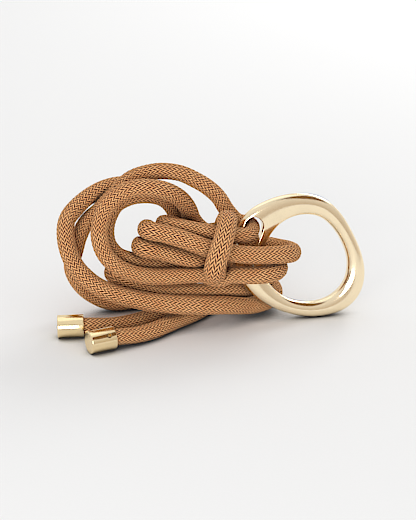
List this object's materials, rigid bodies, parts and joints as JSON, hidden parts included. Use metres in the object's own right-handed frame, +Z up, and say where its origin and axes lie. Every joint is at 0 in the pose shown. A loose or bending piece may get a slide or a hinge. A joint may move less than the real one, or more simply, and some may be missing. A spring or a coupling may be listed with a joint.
{
  "type": "rope belt",
  "caption": "Braided rope belt laid down as a folded hank, with a rounded metal ring buckle whose side slot holds the rope and a metal cap on each rope end.",
  "frame": {"origin": "on the surface it lies on, under the middle of the box around the buckle and the two end caps", "axes": "+X from the end caps to the buckle, +Y away from the viewer, +Z up from the surface"},
  "size_m": [0.1659, 0.0808, 0.0861],
  "materials": {
    "rope_braid": "matte braided cotton or rayon, tan",
    "gold_metal": "polished light gold plating"
  },
  "bodies": {
    "root": {"rope": "rope_braid", "ring_buckle": "gold_metal", "end_cap_rear": "gold_metal", "end_cap_rear_screw": "gold_metal", "end_cap_front": "gold_metal", "end_cap_front_screw": "gold_metal"}
  },
  "joints": []
}
